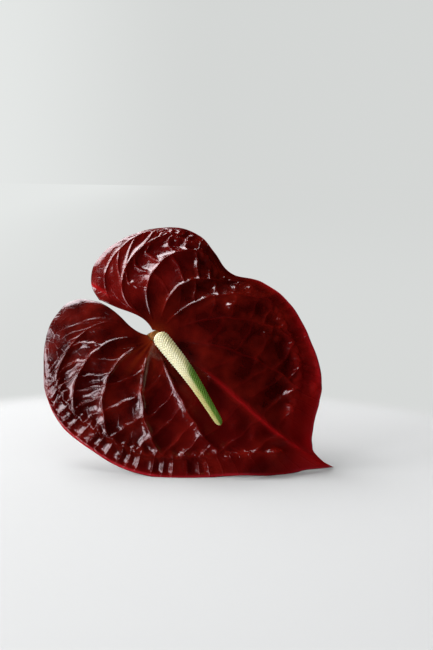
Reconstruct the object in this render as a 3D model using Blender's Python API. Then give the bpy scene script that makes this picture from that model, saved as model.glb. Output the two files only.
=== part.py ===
"""Anthurium cut flower, lying on the edge of its spathe and the end of its stem.

Three natural pieces: the heart-shaped spathe, the spadix with its florets, and the peduncle.
Lengths are in millimetres and become metres as each mesh is finished. The pieces are shaped
round the node where they meet, and then moved so that the origin is on the resting surface,
at the middle of the flower's length and width. +Z is up, and the spathe faces -Y.
"""

import bmesh
import bpy
import numpy as np

MM = 0.001

# Pose of the blade. It leans back from upright, and its midrib dips to the right.
NODE_HEIGHT = 64.5
LEAN = np.radians(35.0)
TURN = np.radians(5.0)
MIDRIB_DIP = np.radians(43.0)

# Outline: reach from the node, for bearings in degrees measured from the midrib.
LEFT_BEARINGS = (0, 4, 8, 15, 22, 32, 45, 60, 75, 95, 110, 125, 145, 157, 165, 170, 172.5)
LEFT_REACH = (119, 110, 105.5, 97, 89.5, 84.5, 81, 76.5, 72, 70, 67, 63, 60, 57, 53, 46, 37)
RIGHT_BEARINGS = (
    0, 2, 5, 10, 20, 30, 43, 58, 72, 80, 86, 92, 101, 112, 124, 137, 150, 163, 172, 180, 187.5
)
RIGHT_REACH = (
    119, 108, 103, 99, 96, 93, 86, 80, 74, 71, 66, 65, 68.4, 74.4, 76.4, 73.6, 68.5, 62.2, 56.3, 48.6, 38
)

# Primary veins: bearing in degrees at which each leaves the node, and mesh columns per band.
LEFT_VEINS = (35, 70, 110, 146, 183, 245)
LEFT_COLUMNS = (5, 5, 6, 5, 6, 7, 8)
RIGHT_VEINS = (32, 66, 97, 126, 163, 205, 250)
RIGHT_COLUMNS = (5, 5, 5, 5, 5, 5, 6, 9)
ROWS = 32
ROW_SPREAD = 0.85
CROSS_RIB_ROWS = 3
OUTER_BAND_ROWS = 3

# Smooth form of the blade over its plane: along is toward the apex, across toward the upper lobe.
SHIELD_RISE = 10.5
SHIELD_ALONG = 22
SHIELD_ACROSS = -4
SHIELD_FRONT = 93
SHIELD_BACK = 60
SHIELD_WIDTH = 58
UPPER_LOBE_EXTRA = 16
DIMPLE_DEPTH = 8.0
DIMPLE_ALONG = 8
DIMPLE_RADIUS = 22
MARGIN_ROLL = 1.5
TIP_DROP = 7.2
TIP_DROP_FROM = 80
TIP_FOLD = 0.6
APEX_BEND = 0.0065
APEX_BEND_FROM = 78

# Waves of the margin: bearing, half width in degrees, height at the margin, and how late it rises.
LEFT_WAVES = ((10, 10, 8.0, 4), (44, 22, 3.8, 4))
RIGHT_WAVES = ((86, 14, -9.0, 3), (116, 18, 2.0, 4), (58, 14, 1.0, 4))

# Cleft between the two lobes
CLEFT_LEAST = 0.5
CLEFT_WIDEST = 3.8
CLEFT_WIDEST_AT = 11

# Blade thickness and its raised net of veins
NECK_HOLE = 3.4
THICKNESS = 0.85
CELL_DEPTH = 2.2
NEAR_FLANK = 8.5
FAR_FLANK = 4.5
VALLEY_ROUNDING = 6
CROSS_RIB_SHARE = 0.4
CROSS_RIB_SHIFT = 2
RIM_CELL_DEPTH = (0.3, 0.7)
RIB_RISE = 0.6
RIB_WIDTH = 1.2
COLLECTIVE_RIB = 0.7
CALM_STRENGTH = 0.35
CALM_MARGIN_EXTRA = 0.45
MIDRIB_KEEL = 1.8
MIDRIB_KEEL_WIDTH = 2.2

# Spadix
SPADIX_BASE_RADIUS = 4.1
SPADIX_TAPER = 0.62
SPADIX_BASE_RISE = 4.0
SPADIX_BASE_AHEAD = 1.9
SPADIX_TIP = (36.5, -48.4, 28.4)
SPADIX_BOW = (0.84, 0.0, 1.35)
SPADIX_BASE_DOME = 0.06
SPADIX_TIP_DOME = 0.05
FLORET_COLUMNS = 24
FLORET_RINGS = 58
FLORET_RISE = 0.38

# Peduncle
STEM_RADIUS = 3.3
NECK_RADIUS = 2.6
NECK_LENGTH = 12
NECK_ABOVE = 2.3
STEM_SIDES = 16
STEM_RINGS = 60
STEM_ROUTE = ((-6, 140, 3.1), (-6, 112, 9.3), (-5, 84, 18.5), (-4, 56, 30), (-4, 30, 44))

TRACE = np.array((np.cos(TURN), np.sin(TURN), 0.0))
FORWARD = np.array((np.sin(TURN), -np.cos(TURN), 0.0))
NORMAL = FORWARD * np.cos(LEAN) + np.array((0.0, 0.0, 1.0)) * np.sin(LEAN)
UPHILL = np.cross(NORMAL, TRACE)
ALONG = TRACE * np.cos(MIDRIB_DIP) - UPHILL * np.sin(MIDRIB_DIP)
ACROSS = TRACE * np.sin(MIDRIB_DIP) + UPHILL * np.cos(MIDRIB_DIP)
NODE = np.array((0.0, 0.0, NODE_HEIGHT))


def smooth_through(x, at, values):
    """Cubic curve through the given values."""
    at = np.asarray(at, float)
    values = np.asarray(values, float)
    slopes = np.gradient(values, at)
    i = np.clip(np.searchsorted(at, x) - 1, 0, len(at) - 2)
    step = at[i + 1] - at[i]
    t = (x - at[i]) / step
    near = (2 * t**3 - 3 * t**2 + 1) * values[i] + (t**3 - 2 * t**2 + t) * step * slopes[i]
    far = (3 * t**2 - 2 * t**3) * values[i + 1] + (t**3 - t**2) * step * slopes[i + 1]
    return near + far


def hump(x, centre, width):
    """Smooth bump, 1 at its centre."""
    return np.exp(-(((x - centre) / width) ** 2))


def ramp(x, start, end):
    """Smooth step from 0 at start to 1 at end."""
    t = np.clip((x - start) / (end - start), 0.0, 1.0)
    return t * t * (3 - 2 * t)


def reach(side, bearing):
    """Distance from the node to the margin; side is -1 for the lower half and 1 for the upper."""
    left = smooth_through(bearing, LEFT_BEARINGS, LEFT_REACH)
    right = smooth_through(bearing, RIGHT_BEARINGS, RIGHT_REACH)
    return np.where(side < 0, left, right)


def vein_turn(rho):
    """Share of its first bearing that a vein still has at this share of the reach."""
    return 1 - 0.30 * rho - 0.13 * rho**3 - 0.07 * rho**8


def waves(bearing, rho, table):
    """Height that the waves of one margin add to the blade."""
    heights = [high * hump(bearing, at, wide) * rho**late for at, wide, high, late in table]
    return np.sum(heights, axis=0)


def blade_height(side, a, b):
    """Height of the smooth blade over its plane, a along the midrib and b across it."""
    bearing = np.degrees(np.arctan2(np.abs(b), a))
    rho = np.hypot(a, b) / reach(side, bearing)
    extra = UPPER_LOBE_EXTRA * (0.5 + 0.5 * np.tanh(b / DIMPLE_RADIUS))
    half_length = np.where(a < SHIELD_ALONG, SHIELD_BACK + extra, SHIELD_FRONT)
    off_along = (a - SHIELD_ALONG) / half_length
    off_across = (b - SHIELD_ACROSS) / (SHIELD_WIDTH + extra)
    shield = SHIELD_RISE * (1 - off_along**2 - off_across**2)
    dimple = -DIMPLE_DEPTH * np.exp(-((a - DIMPLE_ALONG) ** 2 + b * b) / DIMPLE_RADIUS**2)
    roll = -MARGIN_ROLL * np.maximum((rho - 0.75) / 0.25, 0) ** 2
    wave = np.where(side > 0, waves(bearing, rho, RIGHT_WAVES), waves(bearing, rho, LEFT_WAVES))
    drop = -TIP_DROP * np.maximum((a - TIP_DROP_FROM) / (LEFT_REACH[0] - TIP_DROP_FROM), 0) ** 2
    fold = -TIP_FOLD * ramp(a, TIP_DROP_FROM + 6, LEFT_REACH[0] - 7) * (np.sqrt(b * b + 1) - 1)
    return shield + dimple + roll + wave + drop + fold


def node_point():
    """Where the stem meets the blade, at the bottom of its dimple."""
    return NODE + blade_height(1, np.array(0.0), np.array(0.0)) * NORMAL


def sinus_half_width(r):
    """Half the gap between the two lobes, at this distance from the node."""
    share = r / CLEFT_WIDEST_AT
    return CLEFT_LEAST + CLEFT_WIDEST * share * np.exp((1 - share**2) / 2)


def blade_frame(side, bearing, r):
    """Point of the smooth blade and its normal there, before relief and thickness."""
    end = np.where(side < 0, LEFT_BEARINGS[-1], RIGHT_BEARINGS[-1])
    opening = np.degrees(np.arctan2(sinus_half_width(r), r))
    bearing = bearing - opening * (bearing / end) ** 3
    a = r * np.cos(np.radians(bearing))
    b = side * r * np.sin(np.radians(bearing))
    h = blade_height(side, a, b)
    d = 0.4
    slope_a = (blade_height(side, a + d, b) - blade_height(side, a - d, b)) / (2 * d)
    slope_b = (blade_height(side, a, b + d) - blade_height(side, a, b - d)) / (2 * d)
    normal = NORMAL - slope_a[:, None] * ALONG - slope_b[:, None] * ACROSS
    normal /= np.linalg.norm(normal, axis=1)[:, None]
    b = b + APEX_BEND * np.maximum(a - APEX_BEND_FROM, 0) ** 2
    point = NODE + a[:, None] * ALONG + b[:, None] * ACROSS + h[:, None] * NORMAL
    return point, normal


def half_layout(side):
    """Vein bearings from the midrib to the sinus, and the mesh column of each."""
    veins, columns, end = (
        (LEFT_VEINS, LEFT_COLUMNS, LEFT_BEARINGS[-1])
        if side < 0
        else (RIGHT_VEINS, RIGHT_COLUMNS, RIGHT_BEARINGS[-1])
    )
    bearings = np.array((0, *veins, end / vein_turn(1.0)))
    return bearings, np.concatenate(([0], np.cumsum(columns)))


def start_share(side, vein):
    """Share of the reach where a vein line starts: at the node, or on the edge of the sinus."""
    end = LEFT_BEARINGS[-1] if side < 0 else RIGHT_BEARINGS[-1]
    low = np.zeros_like(vein)
    high = np.ones_like(vein)
    for _ in range(40):
        middle = (low + high) / 2
        beyond = vein * vein_turn(middle) > end
        low = np.where(beyond, middle, low)
        high = np.where(beyond, high, middle)
    return high


def valley(s, wide):
    """Depth between two veins: a gentle rise to the nearer vein and a steep one to the farther."""
    flanks = np.stack((s * wide / NEAR_FLANK, (1 - s) * wide / FAR_FLANK, np.ones_like(s)))
    return -np.log(np.exp(-VALLEY_ROUNDING * flanks).sum(axis=0)) / VALLEY_ROUNDING


def relief(side, column, row):
    """Height of the rib net over the smooth blade. Ribs stand up, and the cells between sink."""
    bearings, bounds = half_layout(side)
    band = np.clip(np.searchsorted(bounds, column, side="right") - 1, 0, len(bounds) - 2)
    within = column - bounds[band]
    s = within / (bounds[band + 1] - bounds[band])
    share = row / ROWS
    vein = np.interp(column, bounds, bearings)
    bearing = vein * vein_turn(share)
    wide = np.radians(np.diff(bearings)[band] * vein_turn(share)) * share * reach(side, bearing)
    t = np.mod((row - within - CROSS_RIB_SHIFT * band) / CROSS_RIB_ROWS, 1.0)
    along = 1 - np.abs(2 * t - 1) ** 2
    inner = ROWS - OUTER_BAND_ROWS
    outer = np.clip((row - inner) / OUTER_BAND_ROWS, 0, 1)
    rim = 1 - np.abs(2 * outer - 1) ** 2
    inner_cell = valley(s, wide) * (1 - CROSS_RIB_SHARE + CROSS_RIB_SHARE * along)
    rim_cell = rim * (RIM_CELL_DEPTH[0] * (1 - along) + RIM_CELL_DEPTH[1] * along)
    cell = np.where(row <= inner, inner_cell * (1 - hump(row, inner, 0.8)), rim_cell)
    ridge = np.where(row <= inner, hump(np.minimum(s, 1 - s) * wide, 0, RIB_WIDTH), 0.0)
    ridge = ridge + COLLECTIVE_RIB * hump(row, inner, 0.4)
    strength = ramp(share, 0.05, 0.3) * (1 - 0.5 * ramp(share, 0.96, 1.0))
    strength = strength * ramp(1 - start_share(side, vein), 0.05, 0.75)
    if side > 0:
        calm = CALM_STRENGTH + CALM_MARGIN_EXTRA * ramp(share, 0.62, 0.78)
        strength = strength * (calm + (1 - calm) * ramp(bearing, 60, 100))
    return strength * (RIB_RISE * ridge - CELL_DEPTH * cell)


def half_points(side, column, row, under):
    """Blade points for mesh columns and rows; under is 1 on the back face and 0 on the front."""
    bearings, bounds = half_layout(side)
    vein = np.interp(column, bounds, bearings)
    start = start_share(side, vein)
    first = NECK_HOLE / reach(side, np.minimum(vein, bearings[-1] * 0.5))
    start = np.maximum(start, first)
    share = start + (1 - start) * (row / ROWS) ** ROW_SPREAD
    bearing = vein * vein_turn(share)
    r = share * reach(side, bearing)
    point, normal = blade_frame(side, bearing, r)
    tail = 1 - ramp(column, bounds[-2] + 1, bounds[-1])
    lift = relief(side, column, row) * tail
    keel = MIDRIB_KEEL * hump(r * np.radians(vein), 0, MIDRIB_KEEL_WIDTH) * (1 - share) ** 0.7
    depth = under * (THICKNESS + keel)
    return point + (lift - depth)[:, None] * normal


def spathe_points(plan):
    """Places the flat plan of the spathe: x counts columns, y rows, and z is 0 or -1."""
    column = np.abs(plan[:, 0])
    left = plan[:, 0] < 0
    points = np.empty_like(plan)
    for side, chosen in ((-1, left), (1, ~left)):
        points[chosen] = half_points(side, column[chosen], plan[chosen, 1], -plan[chosen, 2])
    middle = column == 0
    other = half_points(-1, column[middle], plan[middle, 1], -plan[middle, 2])
    points[middle] = (points[middle] + other) / 2
    return points


def plan_grid(columns_from, columns_to, rows):
    """Flat triangulated grid, one unit a cell, with the diagonals rising away from x = 0."""
    bm = bmesh.new()
    width = columns_to - columns_from
    bmesh.ops.create_grid(bm, x_segments=width, y_segments=rows, size=0.5)
    for vert in bm.verts:
        vert.co.x = round(columns_from + (vert.co.x + 0.5) * width)
        vert.co.y = round((vert.co.y + 0.5) * rows)
    right = [face for face in bm.faces if face.calc_center_median().x > 0]
    left = [face for face in bm.faces if face.calc_center_median().x < 0]
    if right:
        bmesh.ops.triangulate(bm, faces=right, quad_method="FIXED")
    if left:
        bmesh.ops.triangulate(bm, faces=left, quad_method="ALTERNATE")
    return bm


def place(bm, mapping):
    """Moves every vertex of the plan to its place on the object, and makes it metres."""
    plan = np.array([vert.co[:] for vert in bm.verts])
    for vert, point in zip(bm.verts, mapping(plan)):
        vert.co = point * MM
    bmesh.ops.remove_doubles(bm, verts=bm.verts, dist=1e-7)
    bmesh.ops.dissolve_degenerate(bm, edges=bm.edges, dist=1e-7)
    bmesh.ops.recalc_face_normals(bm, faces=bm.faces)


def finish_object(name, bm, colour, roughness):
    """Turns a bmesh into a named, smooth shaded object with its own material."""
    mesh = bpy.data.meshes.new(name)
    bm.to_mesh(mesh)
    bm.free()
    mesh.shade_smooth()
    material = bpy.data.materials.new(name)
    material.use_nodes = True
    shader = material.node_tree.nodes["Principled BSDF"]
    shader.inputs["Base Color"].default_value = (*colour, 1.0)
    shader.inputs["Roughness"].default_value = roughness
    shader.inputs["Metallic"].default_value = 0.0
    mesh.materials.append(material)
    thing = bpy.data.objects.new(name, mesh)
    bpy.context.scene.collection.objects.link(thing)
    return thing


def build_spathe():
    """The waxy heart-shaped blade, one shell with a raised rib net and a thin closed rim."""
    bm = plan_grid(-sum(LEFT_COLUMNS), sum(RIGHT_COLUMNS), ROWS)
    extruded = bmesh.ops.extrude_face_region(bm, geom=bm.faces[:], use_keep_orig=True)
    under = [item for item in extruded["geom"] if isinstance(item, bmesh.types.BMVert)]
    bmesh.ops.translate(bm, verts=under, vec=(0, 0, -1))
    place(bm, spathe_points)
    for vert in bm.verts:
        vert.co.z = max(vert.co.z, 0.0)
    return finish_object("spathe", bm, (0.10, 0.004, 0.008), 0.22)


def curve_frames(route, count):
    """Points along a smooth route, with two unit vectors square to it at each."""
    route = np.asarray(route, float)
    gaps = np.linalg.norm(np.diff(route, axis=0), axis=1)
    at = np.concatenate(([0], np.cumsum(gaps)))
    s = np.linspace(0, at[-1], count)
    centre = np.stack([smooth_through(s, at, route[:, k]) for k in range(3)], axis=1)
    tangent = np.gradient(centre, s, axis=0)
    tangent /= np.linalg.norm(tangent, axis=1)[:, None]
    side = np.cross(tangent, (0.0, 0.0, 1.0))
    side /= np.linalg.norm(side, axis=1)[:, None]
    return centre, side, np.cross(side, tangent)


def tube_mesh(columns, rings, mapping):
    """A closed tube from a wrapped plan grid; its two ends close on single points."""
    bm = plan_grid(0, columns, rings)
    place(bm, mapping)
    return bm


def dome(t):
    """Quarter circle from 0 at t = 0 to 1 at t = 1 and beyond."""
    return np.sqrt(1 - (1 - np.clip(t, 0, 1)) ** 2)


def spadix_points(plan):
    """Florets in a diamond net: every other point of the grid is the raised tip of one."""
    tip = np.array(SPADIX_TIP)
    base = node_point() + SPADIX_BASE_RISE * NORMAL + SPADIX_BASE_AHEAD * ALONG
    middle = (base + tip) / 2 + np.array(SPADIX_BOW)
    centre, side, up = curve_frames((base, middle, tip), FLORET_RINGS + 1)
    ring = plan[:, 1].astype(int)
    turn = 2 * np.pi * (plan[:, 0] % FLORET_COLUMNS) / FLORET_COLUMNS
    t = plan[:, 1] / FLORET_RINGS
    taper = SPADIX_BASE_RADIUS * (1 - SPADIX_TAPER * ramp(t, 0.1, 1.15))
    closed = dome(t / SPADIX_BASE_DOME) * dome((1 - t) / SPADIX_TIP_DOME)
    raised = (plan[:, 0].astype(int) + ring) % 2 == 0
    radius = (taper + np.where(raised, FLORET_RISE, 0)) * closed
    spoke = np.cos(turn)[:, None] * side[ring] + np.sin(turn)[:, None] * up[ring]
    return centre[ring] + radius[:, None] * spoke


def build_spadix():
    """The finger-like spike, covered in small florets."""
    bm = tube_mesh(FLORET_COLUMNS, FLORET_RINGS, spadix_points)
    return finish_object("spadix", bm, (0.55, 0.58, 0.22), 0.5)


def peduncle_points(plan):
    """The stem from its cut end up to the node, where it narrows and bends to the spadix."""
    neck_way = 0.93 * NORMAL + 0.36 * ALONG
    node = node_point()
    route = (*STEM_ROUTE, node - NECK_LENGTH * neck_way, node + NECK_ABOVE * neck_way)
    centre, side, up = curve_frames(route, STEM_RINGS - 1)
    ring = np.clip(plan[:, 1].astype(int) - 1, 0, STEM_RINGS - 2)
    turn = 2 * np.pi * (plan[:, 0] % STEM_SIDES) / STEM_SIDES
    share = ring / (STEM_RINGS - 2)
    radius = STEM_RADIUS + (NECK_RADIUS - STEM_RADIUS) * ramp(share, 0.3, 0.95)
    radius = np.where((plan[:, 1] == 0) | (plan[:, 1] == STEM_RINGS), 0, radius)
    spoke = np.cos(turn)[:, None] * side[ring] + np.sin(turn)[:, None] * up[ring]
    return centre[ring] + radius[:, None] * spoke


def build_peduncle():
    """The flower stalk, cut off square behind the spathe."""
    bm = tube_mesh(STEM_SIDES, STEM_RINGS, peduncle_points)
    for vert in bm.verts:
        vert.co.z = max(vert.co.z, 0.0)
    return finish_object("peduncle", bm, (0.16, 0.22, 0.06), 0.4)


def centre_on_origin(things):
    """Moves the meshes so that the middle of their common box stands on the origin."""
    points = np.array([vert.co[:] for thing in things for vert in thing.data.vertices])
    middle = (points.min(axis=0) + points.max(axis=0)) / 2
    for thing in things:
        for vert in thing.data.vertices:
            vert.co.x -= middle[0]
            vert.co.y -= middle[1]


def main():
    """Clears the scene and builds the three pieces."""
    for thing in list(bpy.data.objects):
        bpy.data.objects.remove(thing)
    centre_on_origin((build_spathe(), build_spadix(), build_peduncle()))


main()
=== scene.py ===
"""Finished look of an anthurium cut flower: waxy spathe, spadix of florets and cut peduncle.

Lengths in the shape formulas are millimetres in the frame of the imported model, and become
metres as each mesh is finished. The midrib runs from the node to the apex of the spathe; the
lower half of the blade has side -1 and the upper half side +1.
"""

import logging
import math
from dataclasses import dataclass, field
from enum import Enum

import bmesh
import bpy
import numpy as np
from mathutils import Matrix, Vector

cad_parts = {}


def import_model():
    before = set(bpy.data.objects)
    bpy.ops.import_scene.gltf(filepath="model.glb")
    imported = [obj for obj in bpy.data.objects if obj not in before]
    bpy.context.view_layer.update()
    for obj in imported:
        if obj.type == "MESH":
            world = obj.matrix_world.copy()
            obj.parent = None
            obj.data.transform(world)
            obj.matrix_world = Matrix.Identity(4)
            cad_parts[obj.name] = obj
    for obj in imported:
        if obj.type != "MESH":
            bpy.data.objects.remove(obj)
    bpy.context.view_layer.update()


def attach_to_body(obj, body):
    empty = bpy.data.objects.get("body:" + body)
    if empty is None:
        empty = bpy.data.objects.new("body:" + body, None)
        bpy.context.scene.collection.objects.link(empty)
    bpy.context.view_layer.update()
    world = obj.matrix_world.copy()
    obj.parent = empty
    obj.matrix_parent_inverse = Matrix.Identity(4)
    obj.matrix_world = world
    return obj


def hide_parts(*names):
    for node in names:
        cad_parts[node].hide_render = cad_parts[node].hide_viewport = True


LOG = logging.getLogger("anthurium")
MM = 0.001
FLOWER_CENTRE = np.array((17.763, 45.896, 0.0))
TURN_NEAR, TURN_MIDDLE, TURN_RIM = 0.30, 0.13, 0.07
Array = np.ndarray
Colour = tuple[float, float, float]
Span = tuple[float, float]


class Side(Enum):
    """The two halves of the blade."""

    LOWER = -1
    UPPER = 1


def smooth_through(x: Array, at: tuple[float, ...], values: tuple[float, ...]) -> Array:
    """Reads a cubic curve through given values.

    Args:
        x: Places to read the curve at.
        at: Rising places of the given values.
        values: The given values.

    Returns:
        The curve at every x.
    """
    spots = np.asarray(at, float)
    levels = np.asarray(values, float)
    slopes = np.gradient(levels, spots)
    i = np.clip(np.searchsorted(spots, x) - 1, 0, len(spots) - 2)
    step = spots[i + 1] - spots[i]
    t = (x - spots[i]) / step
    near = (2 * t**3 - 3 * t**2 + 1) * levels[i] + (t**3 - 2 * t**2 + t) * step * slopes[i]
    far = (3 * t**2 - 2 * t**3) * levels[i + 1] + (t**3 - t**2) * step * slopes[i + 1]
    return near + far


def hump(x: Array, centre: float, width: float) -> Array:
    """Smooth bump of height 1 at its centre."""
    return np.exp(-(((x - centre) / width) ** 2))


def ramp(x: Array, start: float, end: float) -> Array:
    """Smooth step from 0 at start to 1 at end."""
    t = np.clip((x - start) / (end - start), 0.0, 1.0)
    return t * t * (3 - 2 * t)


def dome(t: Array) -> Array:
    """Quarter circle from 0 at t = 0 to 1 at t = 1 and beyond."""
    return np.sqrt(1 - (1 - np.clip(t, 0, 1)) ** 2)


@dataclass(frozen=True)
class HalfBlade:
    """Outline, veins and mesh columns of one half of the blade."""

    side: Side
    bearings: tuple[float, ...]
    reach: tuple[float, ...]
    veins: tuple[float, ...]
    columns: tuple[int, ...]
    waves: tuple[tuple[float, float, float, float], ...]
    cross_slant: float
    cross_pace: tuple[float, ...]
    cross_phase: tuple[float, ...]
    short_spacing: tuple[float, float]

    def margin(self, bearing: Array) -> Array:
        """Distance from the node to the margin."""
        return smooth_through(bearing, self.bearings, self.reach)

    def vein_lines(self) -> tuple[Array, Array]:
        """Bearings of the vein lines at the node, and the mesh column of each."""
        bearings = np.array((0, *self.veins, self.bearings[-1] / vein_turn(1.0)))
        return bearings, np.concatenate(([0], np.cumsum(self.columns)))


LOWER_HALF = HalfBlade(
    side=Side.LOWER,
    bearings=(0, 4, 8, 15, 22, 32, 45, 60, 75, 95, 110, 125, 145, 157, 165, 170, 172.5),
    reach=(119, 110, 105.5, 97, 89.5, 84.5, 81, 76.5, 72, 70, 67, 63, 60, 57, 53, 46, 37),
    veins=(35, 70, 110, 146, 183, 245),
    columns=(5, 5, 6, 5, 6, 7, 8),
    waves=((10, 10, 8.0, 4), (44, 22, 3.8, 4)),
    cross_slant=1.6,
    cross_pace=(0.92, 1.08, 0.825, 1.33, 0.9, 1.04, 0.94),
    cross_phase=(0.0, 0.5, 0.49, 0.61, 0.49, 0.72, 0.03),
    short_spacing=(6.6, 7.0),
)
UPPER_HALF = HalfBlade(
    side=Side.UPPER,
    bearings=(
        0, 2, 5, 10, 20, 30, 43, 58, 72, 80, 86, 92, 101, 112, 124, 137, 150, 163, 172, 180, 187.5
    ),
    reach=(
        119, 108, 103, 99, 96, 93, 86, 80, 74, 71, 66, 65, 68.4, 74.4, 76.4, 73.6, 68.5, 62.2, 56.3,
        48.6, 38,
    ),
    veins=(32, 66, 97, 126, 163, 205, 250),
    columns=(5, 5, 5, 5, 5, 5, 6, 9),
    waves=((86, 14, -9.0, 3), (116, 18, 2.0, 4), (58, 14, 1.0, 4)),
    cross_slant=1.35,
    cross_pace=(1.08, 0.93, 1.05, 0.96, 0.89, 1.12, 0.78, 1.08),
    cross_phase=(0.0, 0.37, 0.74, 0.48, 0.19, 0.73, 0.72, 0.84),
    short_spacing=(6.6, 8.0),
)


def to_metres(points: Array) -> Array:
    """Moves points from the node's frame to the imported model's frame, in metres."""
    return (points - FLOWER_CENTRE) * MM


def vein_turn(rho: Array | float) -> Array | float:
    """Share of its first bearing that a vein still has at this share of the reach."""
    return 1 - TURN_NEAR * rho - TURN_MIDDLE * rho**3 - TURN_RIM * rho**8


@dataclass(frozen=True)
class BladeForm:
    """Smooth form of the blade over its leaning plane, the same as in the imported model."""

    node_height: float = 64.5
    lean: float = math.radians(35.0)
    turn: float = math.radians(5.0)
    midrib_dip: float = math.radians(43.0)
    shield_rise: float = 10.5
    shield_along: float = 22
    shield_across: float = -4
    shield_front: float = 93
    shield_back: float = 60
    shield_width: float = 58
    upper_lobe_extra: float = 16
    dimple_depth: float = 8.0
    dimple_along: float = 8
    dimple_radius: float = 22
    margin_roll: float = 1.5
    tip_drop: float = 7.2
    tip_drop_from: float = 80
    tip_fold: float = 0.6
    apex_bend: float = 0.0065
    apex_bend_from: float = 78
    cleft_least: float = 0.5
    cleft_widest: float = 3.8
    cleft_widest_at: float = 11
    roll_from: float = 0.75
    fold_after: float = 6
    fold_before: float = 7
    slope_step: float = 0.4

    @property
    def normal(self) -> Array:
        """Direction that the front of the blade faces."""
        ahead = np.array((math.sin(self.turn), -math.cos(self.turn), 0.0))
        return ahead * math.cos(self.lean) + np.array((0, 0, 1.0)) * math.sin(self.lean)

    @property
    def axes(self) -> tuple[Array, Array]:
        """Directions along the midrib to the apex, and across it to the upper lobe."""
        level = np.array((math.cos(self.turn), math.sin(self.turn), 0.0))
        uphill = np.cross(self.normal, level)
        dip = self.midrib_dip
        along = level * math.cos(dip) - uphill * math.sin(dip)
        return along, level * math.sin(dip) + uphill * math.cos(dip)

    def height(self, half: HalfBlade, a: Array, b: Array) -> Array:
        """Height of the smooth blade over its plane.

        Args:
            half: The half of the blade that the points lie on.
            a: Distances along the midrib.
            b: Distances across it.

        Returns:
            Heights in millimetres.
        """
        bearing = np.degrees(np.arctan2(np.abs(b), a))
        rho = np.hypot(a, b) / half.margin(bearing)
        extra = self.upper_lobe_extra * (0.5 + 0.5 * np.tanh(b / self.dimple_radius))
        length = np.where(a < self.shield_along, self.shield_back + extra, self.shield_front)
        off_along = (a - self.shield_along) / length
        off_across = (b - self.shield_across) / (self.shield_width + extra)
        shield = self.shield_rise * (1 - off_along**2 - off_across**2)
        off_dimple = ((a - self.dimple_along) ** 2 + b * b) / self.dimple_radius**2
        roll = -self.margin_roll * np.maximum((rho - self.roll_from) / (1 - self.roll_from), 0) ** 2
        wave = np.zeros_like(rho)
        for at, wide, high, late in half.waves:
            wave = wave + high * hump(bearing, at, wide) * rho**late
        tip = half.reach[0]
        drop = -self.tip_drop * np.maximum((a - self.tip_drop_from) / (tip - self.tip_drop_from), 0) ** 2
        folded = ramp(a, self.tip_drop_from + self.fold_after, tip - self.fold_before)
        fold = -self.tip_fold * folded * (np.sqrt(b * b + 1) - 1)
        return shield - self.dimple_depth * np.exp(-off_dimple) + roll + wave + drop + fold

    def node_point(self) -> Array:
        """Where the stem meets the blade."""
        zero = np.zeros(1)
        return np.array((0, 0, self.node_height)) + self.height(UPPER_HALF, zero, zero)[0] * self.normal

    def surface(self, half: HalfBlade, bearing: Array, r: Array) -> tuple[Array, Array]:
        """Points of the smooth blade and its normals there.

        Args:
            half: The half of the blade.
            bearing: Bearings from the midrib, in degrees.
            r: Distances from the node.

        Returns:
            Points and unit normals.
        """
        end = half.bearings[-1]
        share = r / self.cleft_widest_at
        gap = self.cleft_least + self.cleft_widest * share * np.exp((1 - share**2) / 2)
        bearing = bearing - np.degrees(np.arctan2(gap, r)) * (bearing / end) ** 3
        a = r * np.cos(np.radians(bearing))
        b = half.side.value * r * np.sin(np.radians(bearing))
        h = self.height(half, a, b)
        d = self.slope_step
        slope_a = (self.height(half, a + d, b) - self.height(half, a - d, b)) / (2 * d)
        slope_b = (self.height(half, a, b + d) - self.height(half, a, b - d)) / (2 * d)
        along, across = self.axes
        normals = self.normal - slope_a[:, None] * along - slope_b[:, None] * across
        normals /= np.linalg.norm(normals, axis=1)[:, None]
        b = b + self.apex_bend * np.maximum(a - self.apex_bend_from, 0) ** 2
        points = a[:, None] * along + b[:, None] * across + h[:, None] * self.normal
        return points + np.array((0, 0, self.node_height)), normals


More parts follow.
